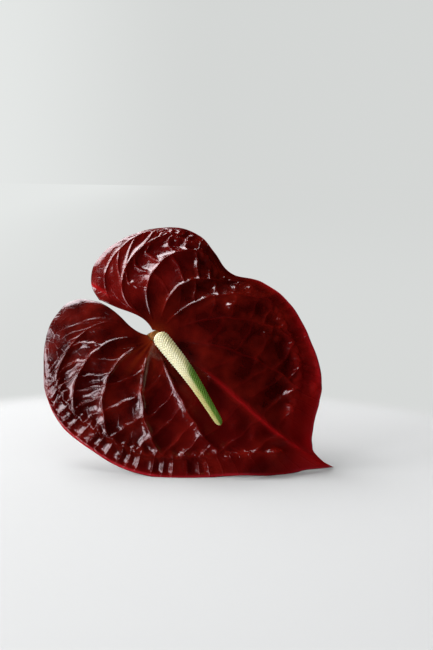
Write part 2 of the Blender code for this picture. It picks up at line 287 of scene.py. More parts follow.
@dataclass(frozen=True)
class VeinNet:
    """Raised net of veins over the blade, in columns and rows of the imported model's mesh."""

    rows: int = 32
    row_spread: float = 0.85
    outer_rows: float = 6.0
    plain_rows: float = 0.75
    cell_depth: float = 2.5
    steep_flank: float = 3.6
    easy_flank: float = 7.0
    far_flank: float = 2.4
    short_flanks: tuple[float, float] = (1.6, 0.8)
    lobe_strength: float = 1.1
    cross_share: float = 0.5
    outer_fall: float = 1.56
    rib_rise: float = 0.34
    collective_rise: float = 0.6
    cross_first: float = 2.6
    cross_crowding: float = 5.3
    cross_rise: float = 1.2
    cross_unevenness: float = 0.09
    cross_width: float = 0.12
    cross_hollow_width: float = 0.3
    crossed_from: Span = (0.22, 0.55)
    smooth_share: float = 0.85
    smooth_at: Span = (20, 30)
    smooth_until: Span = (0.62, 0.85)
    lower_turned: Span = (60, 125)
    upper_turned: Span = (98, 135)
    vein_width: float = 0.8
    scallop: float = 1.3
    collective_width: float = 0.35
    collective_shoulder: float = 1.2
    short_unevenness: float = 0.16
    loose_from: Span = (88, 112)
    flanks_swap: Span = (100, 125)
    cushions_from: Span = (18, 32)
    cushion_change: float = 0.22
    cushion_edge: int = 5
    bare_margin: Span = (82, 30)
    net_from: Span = (0.03, 0.22)
    net_until: Span = (0.96, 1.0)
    start_fade: Span = (0.12, 0.8)
    lobe_from: Span = (72, 108)
    calm_strength: float = 0.26
    lively_share: Span = (0.58, 0.78)
    lively_from: Span = (4, 12)
    lively_until: Span = (45, 70)
    quiet_lobe: float = 0.7
    quiet_lobe_from: Span = (125, 160)
    fall_rows: float = 1.5
    fall_from: Span = (70, 100)

    def start_share(self, half: HalfBlade, vein: Array) -> Array:
        """Share of the reach where a vein line starts: at the node, or on the edge of the cleft."""
        low = np.zeros_like(vein)
        high = np.ones_like(vein)
        for _ in range(40):
            middle = (low + high) / 2
            beyond = vein * vein_turn(middle) > half.bearings[-1]
            low = np.where(beyond, middle, low)
            high = np.where(beyond, high, middle)
        return high

    def inner_place(self, half: HalfBlade, column: Array, row: Array, band: Array) -> tuple[Array, Array]:
        """How far a point is between two veins, and between which cross ribs."""
        bounds = half.vein_lines()[1]
        within = column - bounds[band]
        s = within / (bounds[band + 1] - bounds[band])
        u = (row - half.cross_slant * within) / self.rows
        pace = np.asarray(half.cross_pace)[band]
        phase = np.asarray(half.cross_phase)[band]
        t = pace * (self.cross_first * u + self.cross_crowding * u * np.abs(u)) + phase
        return s, t + self.cross_unevenness * np.sin(2.3 * t + 1.1 * band)

    def short_spacing(self, half: HalfBlade, bearing: Array) -> Array:
        """Distance along the margin between short ribs."""
        close, loose = half.short_spacing
        return close + (loose - close) * ramp(bearing, *self.loose_from)

    def outer_place(self, half: HalfBlade, bearing: Array) -> Array:
        """Between which short ribs of the outer band a bearing lies."""
        turns = np.linspace(half.bearings[0], half.bearings[-1], 200)
        reach = half.margin(turns)
        steps = np.hypot(np.diff(reach), np.radians(np.diff(turns)) * (reach[1:] + reach[:-1]) / 2)
        ribs = np.cumsum(steps / self.short_spacing(half, turns[1:]))
        t = np.interp(bearing, turns, np.concatenate(([0], ribs)))
        return t + self.short_unevenness * np.sin(1.9 * t + 0.6)

    def collective_row(self, half: HalfBlade, bearing: Array) -> Array:
        """Mesh row of the collective vein, which arches outward between the short ribs."""
        off_short = np.abs(2 * np.mod(self.outer_place(half, bearing), 1.0) - 1)
        return self.rows - self.outer_rows + self.scallop * (1 - off_short**2)

    def relief(self, half: HalfBlade, column: Array, row: Array) -> tuple[Array, Array]:
        """Height of the net over the smooth blade.

        Args:
            half: The half of the blade.
            column: Mesh columns, counted from the midrib.
            row: Mesh rows, counted from the node.

        Returns:
            Heights in millimetres, and how strong the net is there, from 0 to 1.
        """
        bearings, bounds = half.vein_lines()
        band = np.clip(np.searchsorted(bounds, column, side="right") - 1, 0, len(bounds) - 2)
        s, t = self.inner_place(half, column, row, band)
        share = row / self.rows
        vein = np.interp(column, bounds, bearings)
        bearing = vein * vein_turn(share)
        wide = np.radians(np.diff(bearings)[band] * vein_turn(share)) * share * half.margin(bearing)
        turned = ramp(bearing, *(self.lower_turned if half is LOWER_HALF else self.upper_turned))
        near_flank = self.steep_flank + (self.easy_flank - self.steep_flank) * turned
        valley = (1 - np.exp(-s * wide / near_flank)) * (1 - np.exp(-(1 - s) * wide / self.far_flank))
        off_rib = np.abs(2 * np.mod(t, 1.0) - 1)
        crossed = ramp(share, *self.crossed_from)
        if half is LOWER_HALF:
            inward = 1 - ramp(share, *self.smooth_until)
            crossed = crossed * (1 - self.smooth_share * hump(bearing, *self.smooth_at) * inward)
        cell = valley * (1 - self.cross_share * crossed * hump(off_rib, 1, self.cross_hollow_width))
        vein_ridge = hump(np.minimum(s, 1 - s) * wide, 0, self.vein_width)
        ridge = vein_ridge + self.cross_rise * crossed * hump(off_rib, 1, self.cross_width)
        inner = self.collective_row(half, bearing)
        cell = cell * (1 - hump(row - inner, 0, self.collective_shoulder))
        outer = np.clip((row - inner) / (self.rows - self.plain_rows - inner), 0, 1)
        from_short = np.mod(self.outer_place(half, bearing), 1.0)
        spacing = self.short_spacing(half, bearing)
        easy, steep = self.short_flanks
        swap = ramp(bearing, *self.flanks_swap) * (half is LOWER_HALF)
        near, far = easy + (steep - easy) * swap, steep + (easy - steep) * swap
        bead = (1 - np.exp(-from_short * spacing / near)) * (1 - np.exp((from_short - 1) * spacing / far))
        bare = hump(bearing, *self.bare_margin) * (half is UPPER_HALF)
        change = self.cushion_change * np.sin(2.1 * np.floor(self.outer_place(half, bearing)))
        shown = ramp(bearing, *self.cushions_from) * (1 - bare) * (1 - self.cushion_change + change)
        rim = (1 - np.abs(2 * outer - 1) ** self.cushion_edge) * shown * bead
        within = row <= inner
        cell = np.where(within, cell, rim)
        collective = self.collective_rise * hump(row - inner, 0, self.collective_width)
        ridge = np.where(within, ridge, 0.0) + collective
        strength = ramp(share, *self.net_from) * (1 - 0.5 * ramp(share, *self.net_until))
        start = self.start_share(half, vein)
        strength = strength * ramp(1 - start, *self.start_fade)
        if half is UPPER_HALF:
            lobe = ramp(bearing, *self.lobe_from)
            lively = ramp(share, *self.lively_share) * (1 - ramp(bearing, *self.lively_until))
            lively = lively * ramp(bearing, *self.lively_from)
            apex_side = self.calm_strength + (1 - self.calm_strength) * lively
            strength = strength * (self.lobe_strength * lobe + (1 - lobe) * apex_side)
        else:
            quiet = self.quiet_lobe * ramp(bearing, *self.quiet_lobe_from)
            strength = strength * (1 - quiet * within)
        lift = strength * (self.rib_rise * ridge - self.cell_depth * cell)
        fall = np.maximum(row - inner - self.fall_rows, 0) / (self.rows - inner - self.fall_rows)
        return lift - self.outer_fall * fall * ramp(bearing, *self.fall_from), strength


def fill(tree: bpy.types.NodeTree, node: bpy.types.Node, sockets: dict) -> None:
    """Sets a node's inputs to constants, or links them to the outputs that feed them."""
    for name, value in sockets.items():
        if isinstance(value, bpy.types.NodeSocket):
            tree.links.new(value, node.inputs[name])
        else:
            node.inputs[name].default_value = value


def add_node(
    tree: bpy.types.NodeTree, kind: str, sockets: dict | None = None, **settings: object
) -> bpy.types.Node:
    """Adds a node, sets its options, and fills its sockets.

    Args:
        tree: The node tree.
        kind: Blender's name of the node type.
        sockets: Socket name or index to a constant or to an output that feeds it.
        settings: Options of the node.

    Returns:
        The new node.
    """
    made = tree.nodes.new(kind)
    for name, value in settings.items():
        setattr(made, name, value)
    fill(tree, made, sockets or {})
    return made


def add_group(tree: bpy.types.NodeTree, group: bpy.types.NodeTree, sockets: dict) -> bpy.types.Node:
    """Adds a node that uses a node group, and fills its sockets."""
    made = tree.nodes.new("ShaderNodeGroup")
    made.node_tree = group
    fill(tree, made, sockets)
    return made


def maths(
    tree: bpy.types.NodeTree, operation: str, *values: object, clamp: bool = False
) -> bpy.types.NodeSocket:
    """Adds a maths node and gives back its result."""
    sockets = dict(enumerate(values))
    return add_node(tree, "ShaderNodeMath", sockets, operation=operation, use_clamp=clamp).outputs[0]


def smoothstep(tree: bpy.types.NodeTree, value: object, low: float, high: float) -> bpy.types.NodeSocket:
    """Adds a smooth step of the value, from 0 at low to 1 at high."""
    sockets = {"Value": value, "From Min": low, "From Max": high}
    return add_node(tree, "ShaderNodeMapRange", sockets, interpolation_type="SMOOTHSTEP").outputs[0]


def mixed(
    tree: bpy.types.NodeTree, share: object, first: object, second: object, blend: str = "MIX"
) -> bpy.types.NodeSocket:
    """Adds a colour mix and gives back its result; colours are sockets or three numbers."""
    full = [(*c, 1.0) if isinstance(c, tuple) else c for c in (first, second)]
    sockets = {0: share, 6: full[0], 7: full[1]}
    return add_node(tree, "ShaderNodeMix", sockets, data_type="RGBA", blend_type=blend).outputs[2]


def attribute(tree: bpy.types.NodeTree, name: str) -> bpy.types.NodeSocket:
    """Reads a number that the mesh holds at its points."""
    return add_node(tree, "ShaderNodeAttribute", attribute_name=name).outputs["Fac"]


def new_group(
    name: str, inputs: dict[str, object], outputs: dict[str, str]
) -> tuple[bpy.types.NodeTree, dict, dict]:
    """Starts a node group with the given sockets.

    Args:
        name: Name of the group.
        inputs: Input names with their default numbers or three-number vectors.
        outputs: Output names with their socket types.

    Returns:
        The group's tree, its inputs by name, and the sockets that its outputs take.
    """
    tree = bpy.data.node_groups.new(name, "ShaderNodeTree")
    for key, value in inputs.items():
        kind = "NodeSocketVector" if isinstance(value, tuple) else "NodeSocketFloat"
        tree.interface.new_socket(key, in_out="INPUT", socket_type=kind).default_value = value
    for key, kind in outputs.items():
        tree.interface.new_socket(key, in_out="OUTPUT", socket_type=kind)
    come = tree.nodes.new("NodeGroupInput").outputs
    leave = tree.nodes.new("NodeGroupOutput").inputs
    return tree, {key: come[key] for key in inputs}, {key: leave[key] for key in outputs}


def mottle_group() -> bpy.types.NodeTree:
    """Soft uneven spots on Object coordinates, shared by every living surface of the flower."""
    found = bpy.data.node_groups.get("living_mottle")
    if found:
        return found
    inputs = {"Spots per metre": 50.0, "Detail": 3.0, "Stretch": (1.0, 1.0, 1.0)}
    tree, come, leave = new_group("living_mottle", inputs, {"Mottle": "NodeSocketFloat"})
    coords = add_node(tree, "ShaderNodeTexCoord").outputs["Object"]
    scaled = add_node(tree, "ShaderNodeMapping", {"Vector": coords, "Scale": come["Stretch"]}).outputs[0]
    sockets = {"Vector": scaled, "Scale": come["Spots per metre"], "Detail": come["Detail"]}
    spots = add_node(tree, "ShaderNodeTexNoise", sockets).outputs["Fac"]
    tree.links.new(spots, leave["Mottle"])
    return tree


def skin_relief_group() -> bpy.types.NodeTree:
    """Turns a height map and fine pores into a normal, shared by every living surface."""
    found = bpy.data.node_groups.get("skin_relief")
    if found:
        return found
    inputs = {"Height": 0.0, "Depth": 0.0004, "Pores": 0.1, "Pores per metre": 1500.0}
    tree, come, leave = new_group("skin_relief", inputs, {"Normal": "NodeSocketVector"})
    coords = add_node(tree, "ShaderNodeTexCoord").outputs["Object"]
    sockets = {"Vector": coords, "Scale": come["Pores per metre"], "Detail": 1.0}
    pores = add_node(tree, "ShaderNodeTexNoise", sockets).outputs["Fac"]
    height = maths(tree, "MULTIPLY_ADD", pores, come["Pores"], come["Height"])
    sockets = {"Strength": 1.0, "Distance": come["Depth"], "Height": height}
    tree.links.new(add_node(tree, "ShaderNodeBump", sockets).outputs[0], leave["Normal"])
    return tree


def noise(
    tree: bpy.types.NodeTree, scale: float, detail: float, stretch: tuple[float, float, float] = (1, 1, 1)
) -> bpy.types.NodeSocket:
    """Adds the shared mottle, with about this many spots to a metre."""
    sockets = {"Spots per metre": scale, "Detail": detail, "Stretch": stretch}
    return add_group(tree, mottle_group(), sockets).outputs["Mottle"]


def skin_normal(
    tree: bpy.types.NodeTree, height: object, depth: float, pores: float, scale: float
) -> bpy.types.NodeSocket:
    """Adds the shared skin relief and gives back its normal."""
    sockets = {"Height": height, "Depth": depth, "Pores": pores, "Pores per metre": scale}
    return add_group(tree, skin_relief_group(), sockets).outputs["Normal"]


def new_material(name: str) -> tuple[bpy.types.Material, bpy.types.NodeTree, bpy.types.Node]:
    """Makes a material and gives back it, its node tree and its shader."""
    material = bpy.data.materials.new(name)
    material.use_nodes = True
    tree = material.node_tree
    return material, tree, tree.nodes["Principled BSDF"]


@dataclass(frozen=True)
class Pucker:
    """A small raised fold of the blade, steep on the side that faces the cleft.

    Its place is given along and across the midrib, and its length runs from bottom to top of
    the standing blade.
    """

    along: float
    across: float
    length: float
    width: float
    height: float

    def lift(self, a: Array, b: Array) -> Array:
        """Height of the fold at places along and across the midrib."""
        level = (a - self.along) * 0.765 + (b - self.across) * 0.644
        uphill = (b - self.across) * 0.765 - (a - self.along) * 0.644
        steep = np.where(level < 0, self.width, self.width * 1.7)
        flank = 0.5 + 0.5 * np.cos(np.pi * np.clip(level / steep, -1, 1))
        return self.height * flank * np.exp(-((uphill / self.length) ** 2))


PUCKERS = (
    Pucker(19.8, 40.7, 2.2, 4.0, 2.0),
    Pucker(45.1, 40.8, 1.6, 3.5, 2.1),
    Pucker(50.8, 44.3, 1.8, 3.0, 2.0),
    Pucker(59.1, 45.0, 1.8, 4.3, 1.55),
    Pucker(52.2, 23.9, 1.6, 2.4, 1.2),
    Pucker(66.9, -10.0, 4.4, 4.2, 1.9),
    Pucker(78.0, -7.9, 5.2, 5.2, 2.3),
    Pucker(88.1, -3.8, 2.2, 4.3, 3.0),
    Pucker(92.2, -11.0, 2.8, 4.9, 3.4),
    Pucker(76.7, -27.6, 2.2, 3.2, 1.6),
    Pucker(84.2, 35.6, 3.4, 3.6, 2.4),
    Pucker(76.2, 23.2, 2.4, 4.4, 2.3),
    Pucker(83.5, 15.9, 2.8, 4.8, 1.1),
)


@dataclass(frozen=True)
class SpatheFinish:
    """Dark red wax, with painted light where the margins, apex and midrib are brighter red, painted shade
    in the hollows and a painted bright rim.
    """

    dark: Colour = (0.036, 0.0006, 0.0003)
    wine: Colour = (0.145, 0.0046, 0.0014)
    scarlet: Colour = (0.34, 0.0036, 0.0046)
    ember: Colour = (0.26, 0.026, 0.003)
    underside: Colour = (0.11, 0.010, 0.008)
    # rim: painted rim light, a thin bright red line where the margin's edge catches the window
    rim: Colour = (0.42, 0.012, 0.022)
    roughness: float = 0.17
    wax: float = 0.2
    wax_roughness: float = 0.08
    specular: float = 0.42
    specular_tint: Colour = (1.0, 0.84, 0.93)
    mottle_spots: float = 78.0
    mottle_contrast: float = 2.6
    mottle_start: float = -0.88
    hollow_shade_strength: float = 0.4
    veinlets_per_metre: float = 230.0
    veinlet_rise: float = 0.14

    def build(self) -> bpy.types.Material:
        """Makes the material of the spathe."""
        material, tree, shader = new_material("spathe_wax")
        painted_light = attribute(tree, "painted_light")
        mottle = noise(tree, self.mottle_spots, 5.0)
        share = maths(tree, "MULTIPLY_ADD", mottle, self.mottle_contrast, self.mottle_start)
        # painted shade: darker red in the sunken cells of the net and where the tint paints shade
        deep = maths(tree, "MULTIPLY", attribute(tree, "hollow_shade"), self.hollow_shade_strength)
        share = maths(tree, "SUBTRACT", share, deep, clamp=True)
        colour = mixed(tree, share, self.dark, self.wine)
        net = add_node(tree, "ShaderNodeUVMap", uv_map="net").outputs[0]
        split = add_node(tree, "ShaderNodeSeparateXYZ", {0: net})
        off_rib = maths(tree, "PINGPONG", split.outputs[0], 0.5)
        to_rib = maths(tree, "MULTIPLY", off_rib, attribute(tree, "width"))
        crest = smoothstep(tree, to_rib, 1.0, 0.15)
        to_cross = maths(tree, "MULTIPLY", maths(tree, "PINGPONG", split.outputs[1], 0.5), 8.0)
        cross = smoothstep(tree, to_cross, 0.7, 0.1)
        lines = maths(tree, "MAXIMUM", crest, maths(tree, "MULTIPLY", cross, 0.6))
        shown = maths(tree, "MULTIPLY", lines, attribute(tree, "strength"))
        pale = maths(tree, "MULTIPLY", lines, attribute(tree, "pale_veins"))
        colour = mixed(tree, pale, colour, self.scarlet)
        # painted light: scarlet where the apex, midrib and margins are painted as catching light
        colour = mixed(tree, painted_light, colour, self.scarlet)
        colour = mixed(tree, attribute(tree, "glow"), colour, self.ember)
        # painted rim light along the margin's edge
        colour = mixed(tree, attribute(tree, "rim"), colour, self.rim)
        colour = mixed(tree, attribute(tree, "back"), colour, self.underside)
        tree.links.new(colour, shader.inputs["Base Color"])
        coords = add_node(tree, "ShaderNodeTexCoord").outputs["Object"]
        sockets = {"Vector": coords, "Scale": self.veinlets_per_metre}
        patches = add_node(tree, "ShaderNodeTexVoronoi", sockets, feature="DISTANCE_TO_EDGE")
        veinlets = smoothstep(tree, patches.outputs["Distance"], 0.13, 0.02)
        height = maths(tree, "MULTIPLY_ADD", noise(tree, 170.0, 0.4), 1.3, shown)
        height = maths(tree, "MULTIPLY_ADD", noise(tree, 480.0, 0.5), 0.25, height)
        height = maths(tree, "MULTIPLY_ADD", veinlets, self.veinlet_rise, height)
        tree.links.new(skin_normal(tree, height, 0.00024, 0.03, 1400.0), shader.inputs["Normal"])
        dull = maths(tree, "MULTIPLY_ADD", mottle, 0.08, self.roughness - 0.04)
        tree.links.new(dull, shader.inputs["Roughness"])
        shader.inputs["Specular IOR Level"].default_value = self.specular
        shader.inputs["Specular Tint"].default_value = (*self.specular_tint, 1.0)
        shader.inputs["Coat Weight"].default_value = self.wax
        shader.inputs["Coat Roughness"].default_value = self.wax_roughness
        return material


@dataclass(frozen=True)
class BladeTint:
    """How strongly each part of the blade gets painted light, painted shade, an orange glow round the node,
    and paler veins.
    """

    apex: float = 0.9
    midrib: float = 0.8
    upper_margin: float = 0.5
    upper_band: float = 0.28
    upper_lobe: float = 0.16
    upper_shade: float = 0.75
    upper_veins: float = 0.08
    lower_margin: float = 0.25
    lower_apex_side: float = 0.12
    lower_shade: float = 0.35
    lower_veins: float = 0.07
    ray_glow: float = 0.45
    rays: float = 22

    def read(
        self, half: HalfBlade, bearing: Array, share: Array, r: Array
    ) -> tuple[Array, Array, Array, Array]:
        """Works out the tints at points of one half of the blade.

        Args:
            half: The half of the blade.
            bearing: Bearings from the midrib, in degrees.
            share: Shares of the reach.
            r: Distances from the node.

        Returns:
            How much painted light brightens the red, how much the rays round the node glow, how strong
            the painted shade over parts of the blade is, and how pale the veins are.
        """
        along = r * np.cos(np.radians(bearing))
        across = half.side.value * r * np.sin(np.radians(bearing))
        edge = ramp(share, 0.91, 1.0)
        glow = np.zeros_like(r)
        # painted light: brighter red at the apex, along the midrib and at the margins, standing in for
        # light they catch
        painted_light = self.apex * ramp(along, 92, 114) + self.midrib * hump(across, 0.3, 1.3) * ramp(r, 26, 50)
        if half is UPPER_HALF:
            painted_light = painted_light + self.upper_margin * edge * (1 - ramp(bearing, 60, 100))
            painted_light = painted_light + self.upper_band * ramp(share, 0.76, 0.9) * (1 - ramp(bearing, 30, 70))
            painted_light = painted_light + self.upper_lobe * ramp(bearing, 100, 125) * ramp(share, 0.25, 0.5)
            # painted shade: darker red over the middle of the upper half
            shade = self.upper_shade * hump(bearing, 45, 36) * hump(share, 0.5, 0.34)
            veins = self.upper_veins
        else:
            spokes = 0.5 + 0.5 * np.cos(np.radians(bearing * self.rays))
            glow = self.ray_glow * spokes * hump(bearing, 78, 26) * (1 - ramp(r, 8, 34))
            margin = self.lower_margin * edge
            painted_light = painted_light + margin * ramp(bearing, 20, 45) * (1 - ramp(bearing, 100, 130))
            painted_light = painted_light + self.lower_apex_side * (1 - ramp(bearing, 25, 60)) * ramp(share, 0.3, 0.5)
            # painted shade: darker red over the lower lobe
            shade = self.lower_shade * ramp(bearing, 95, 130)
            veins = self.lower_veins
        pale = veins * (1 - ramp(bearing, 70, 100) * 0.6) * ramp(share, 0.1, 0.4)
        return np.clip(painted_light, 0, 1), glow, shade, pale


@dataclass
class Spathe:
    """The heart-shaped blade, with its net of veins and a rounded margin."""

    form: BladeForm = field(default_factory=BladeForm)
    net: VeinNet = field(default_factory=VeinNet)
    tint: BladeTint = field(default_factory=BladeTint)
    finish: SpatheFinish = field(default_factory=SpatheFinish)
    fine: int = 4
    thickness: float = 0.85
    neck_hole: float = 3.4
    midrib_keel: float = 1.8
    midrib_keel_width: float = 2.2
    margin_round: float = 0.9
    row_height: float = 2.1
    mean_reach: float = 75
    sway: float = 0.4
    ripple: float = 0.22
    node_glow: float = 5.5

    def shape(
        self, half: HalfBlade, column: Array, row: Array, under: Array
    ) -> tuple[Array, dict[str, Array]]:
        """Places points of one half of the blade and works out what its material reads there.

        Args:
            half: The half of the blade.
            column: Mesh columns, counted from the midrib.
            row: Mesh rows, counted from the node.
            under: 1 on the back face and 0 on the front.

        Returns:
            Points in millimetres, and named numbers for every point.
        """
        bearings, bounds = half.vein_lines()
        vein = np.interp(column, bounds, bearings)
        start = self.net.start_share(half, vein)
        first = self.neck_hole / half.margin(np.minimum(vein, bearings[-1] * 0.5))
        start = np.maximum(start, first)
        share = start + (1 - start) * (row / self.net.rows) ** self.net.row_spread
        bearing = vein * vein_turn(share)
        sway = self.sway * np.sin(0.52 * share * self.mean_reach + 0.8 * column) * ramp(column, 1, 4)
        sway = sway * ramp(share, 0.3, 0.55) * (1 - ramp(share, 0.85, 0.95))
        sway = sway * (1 - ramp(start, 0.05, 0.4))
        bearing = bearing + np.degrees(sway / (share * self.mean_reach))
        reach = half.margin(bearing)
        r = share * reach
        point, normal = self.form.surface(half, bearing, r)
        lift, strength = self.net.relief(half, column, row)
        along = r * np.cos(np.radians(bearing))
        across = half.side.value * r * np.sin(np.radians(bearing))
        lift = lift + sum(fold.lift(along, across) for fold in PUCKERS)
        to_margin = (self.net.rows - row) * self.row_height
        closing = dome(to_margin / self.margin_round)
        closing = closing * dome((bounds[-1] - column) * 2.0 / self.margin_round)
        closing = closing * np.where(start > first, dome(row * self.row_height / self.margin_round), 1.0)
        keel = self.midrib_keel * hump(r * np.radians(vein), 0, self.midrib_keel_width) * (1 - share) ** 0.7
        full = self.thickness + keel
        depth = full * (0.5 + (under - 0.5) * closing)
        ripple = self.ripple * np.sin(0.31 * point[:, 0] + 0.8)
        ripple = ripple * np.sin(0.27 * point[:, 2] + 0.21 * point[:, 1])
        point = point + (lift - depth + ripple * ramp(share, 0.2, 0.6))[:, None] * normal
        band = np.clip(np.searchsorted(bounds, column, side="right") - 1, 0, len(bounds) - 2)
        spread = np.diff(bearings)[band] * vein_turn(share)
        painted_light, glow, shade, pale = self.tint.read(half, bearing, share, r)
        facts = {
            "painted_light": painted_light,
            "glow": hump(r, 0, self.node_glow) + glow,
            "back": under,
            "strength": strength,
            # painted shade: deeper in the sunken cells, plus the painted shade of the tint
            "hollow_shade": np.clip(-lift / self.net.cell_depth, 0, 1) ** 1.5 + shade,
            "width": np.radians(spread) * r,
            # painted rim light on the last row at the margin
            "rim": ramp(row, self.net.rows - 0.9, self.net.rows - 0.2),
            "pale_veins": pale,
        }
        return point, facts

    def plan(self) -> bmesh.types.BMesh:
        """Flat doubled plan of the blade: x counts columns, y rows, and z is 0 or -1."""
        left, right = sum(LOWER_HALF.columns), sum(UPPER_HALF.columns)
        bm = bmesh.new()
        bmesh.ops.create_grid(
            bm, x_segments=(left + right) * self.fine, y_segments=self.net.rows * self.fine, size=0.5
        )
        scale = Matrix.Diagonal((left + right, self.net.rows, 1, 1))
        place = Matrix.Translation(((right - left) / 2, self.net.rows / 2, 0))
        bmesh.ops.transform(bm, matrix=place @ scale, verts=bm.verts)
        raised = bmesh.ops.extrude_face_region(bm, geom=bm.faces[:], use_keep_orig=True)
        under = [item for item in raised["geom"] if isinstance(item, bmesh.types.BMVert)]
        bmesh.ops.translate(bm, verts=under, vec=(0, 0, -1))
        return bm

    def net_map(self, bm: bmesh.types.BMesh) -> None:
        """Gives every face corner its place in the net of veins, as a UV map."""
        layer = bm.loops.layers.uv.new("net")
        corners = [(loop, face.calc_center_median()) for face in bm.faces for loop in face.loops]
        x, y = np.array([loop.vert.co[:2] for loop, _ in corners]).T
        middle_x, middle_y = np.array([middle[:2] for _, middle in corners]).T
        uv = np.zeros((len(corners), 2))
        for half in (LOWER_HALF, UPPER_HALF):
            chosen = (middle_x > 0) == (half is UPPER_HALF)
            column, row = np.abs(x[chosen]), y[chosen]
            bearings, bounds = half.vein_lines()
            last = len(bounds) - 2
            band = np.clip(np.searchsorted(bounds, np.abs(middle_x[chosen]), side="right") - 1, 0, last)
            s, t = self.net.inner_place(half, column, row, band)
            bearing = np.interp(column, bounds, bearings) * vein_turn(row / self.net.rows)
            middle_bearing = np.interp(np.abs(middle_x[chosen]), bounds, bearings)
            middle_bearing = middle_bearing * vein_turn(middle_y[chosen] / self.net.rows)
            out = middle_y[chosen] > self.net.collective_row(half, middle_bearing)
            u = np.where(out, 0.5, band + s)
            uv[chosen] = np.stack((u, 50 + np.where(out, self.net.outer_place(half, bearing), t)), axis=1)
        for (loop, _), place in zip(corners, uv.tolist()):
            loop[layer].uv = place

    def build(self) -> bpy.types.Object:
        """Builds the mesh, its numbers for the material, and dresses it."""
        bm = self.plan()
        self.net_map(bm)
        plan = np.array([vert.co[:] for vert in bm.verts])
        column, row, under = np.abs(plan[:, 0]), plan[:, 1], -plan[:, 2]
        points = np.empty_like(plan)
        facts: dict[str, Array] = {}
        for half, chosen in ((LOWER_HALF, plan[:, 0] < 0), (UPPER_HALF, plan[:, 0] >= 0)):
            placed, found = self.shape(half, column[chosen], row[chosen], under[chosen])
            points[chosen] = placed
            for name, values in found.items():
                facts.setdefault(name, np.zeros(len(plan)))[chosen] = values
        middle = column < 1e-6
        other = self.shape(LOWER_HALF, column[middle], row[middle], under[middle])[0]
        points[middle] = (points[middle] + other) / 2
        points[:, 2] = np.maximum(points[:, 2], 0.0)
        settle(bm, points, facts)
        piece = finish_piece("spathe_blade", bm, self.finish.build())
        return attach(piece, "spathe")


def settle(bm: bmesh.types.BMesh, points: Array, facts: dict[str, Array]) -> None:
    """Moves a plan's vertices to their places, stores their numbers, and closes the mesh.

    Args:
        bm: The plan, whose vertices are in the order of the points.
        points: Places in millimetres.
        facts: Named numbers that the material reads, one for every vertex.
    """
    places = to_metres(points)
    layers = [(bm.verts.layers.float.new(name), values.tolist()) for name, values in facts.items()]
    for i, vert in enumerate(bm.verts):
        vert.co = places[i]
        for layer, values in layers:
            vert[layer] = values[i]
    bmesh.ops.remove_doubles(bm, verts=bm.verts, dist=2e-6)
    bmesh.ops.dissolve_degenerate(bm, edges=bm.edges, dist=1e-6)
    bmesh.ops.recalc_face_normals(bm, faces=bm.faces)


def finish_piece(name: str, bm: bmesh.types.BMesh, material: bpy.types.Material) -> bpy.types.Object:
    """Turns a bmesh into a smooth shaded object in the scene.

    Args:
        name: Name of the piece.
        bm: The finished bmesh, in metres; it is freed.
        material: The piece's material.

    Returns:
        The new object.
    """
    mesh = bpy.data.meshes.new(name)
    bm.to_mesh(mesh)
    bm.free()
    mesh.shade_smooth()
    mesh.materials.append(material)
    piece = bpy.data.objects.new(name, mesh)
    bpy.context.scene.collection.objects.link(piece)
    LOG.info("%s: %d faces", name, len(mesh.polygons))
    return piece


def attach(piece: bpy.types.Object, node: str) -> bpy.types.Object:
    """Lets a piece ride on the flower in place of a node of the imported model."""
    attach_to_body(piece, "root")
    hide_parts(node)
    return piece


def curve_frames(route: tuple, count: int) -> tuple[Array, Array, Array]:
    """Points along a smooth route, with two unit vectors square to it at each.

    Args:
        route: Points that the curve goes through.
        count: How many points to give back.

    Returns:
        Centres, sideways vectors and upward vectors.
    """
    stops = np.asarray(route, float)
    gaps = np.linalg.norm(np.diff(stops, axis=0), axis=1)
    at = np.concatenate(([0], np.cumsum(gaps)))
    s = np.linspace(0, at[-1], count)
    centre = np.stack([smooth_through(s, at, stops[:, k]) for k in range(3)], axis=1)
    tangent = np.gradient(centre, s, axis=0)
    tangent /= np.linalg.norm(tangent, axis=1)[:, None]
    side = np.cross(tangent, (0.0, 0.0, 1.0))
    side /= np.linalg.norm(side, axis=1)[:, None]
    return centre, side, np.cross(side, tangent)


def wrapped_grid(columns: int, rings: int) -> bmesh.types.BMesh:
    """Flat grid whose x counts columns round a stem and whose y counts rings along it."""
    bm = bmesh.new()
    bmesh.ops.create_grid(bm, x_segments=columns, y_segments=rings, size=0.5)
    place = Matrix.Translation((columns / 2, rings / 2, 0)) @ Matrix.Diagonal((columns, rings, 1, 1))
    bmesh.ops.transform(bm, matrix=place, verts=bm.verts)
    return bm


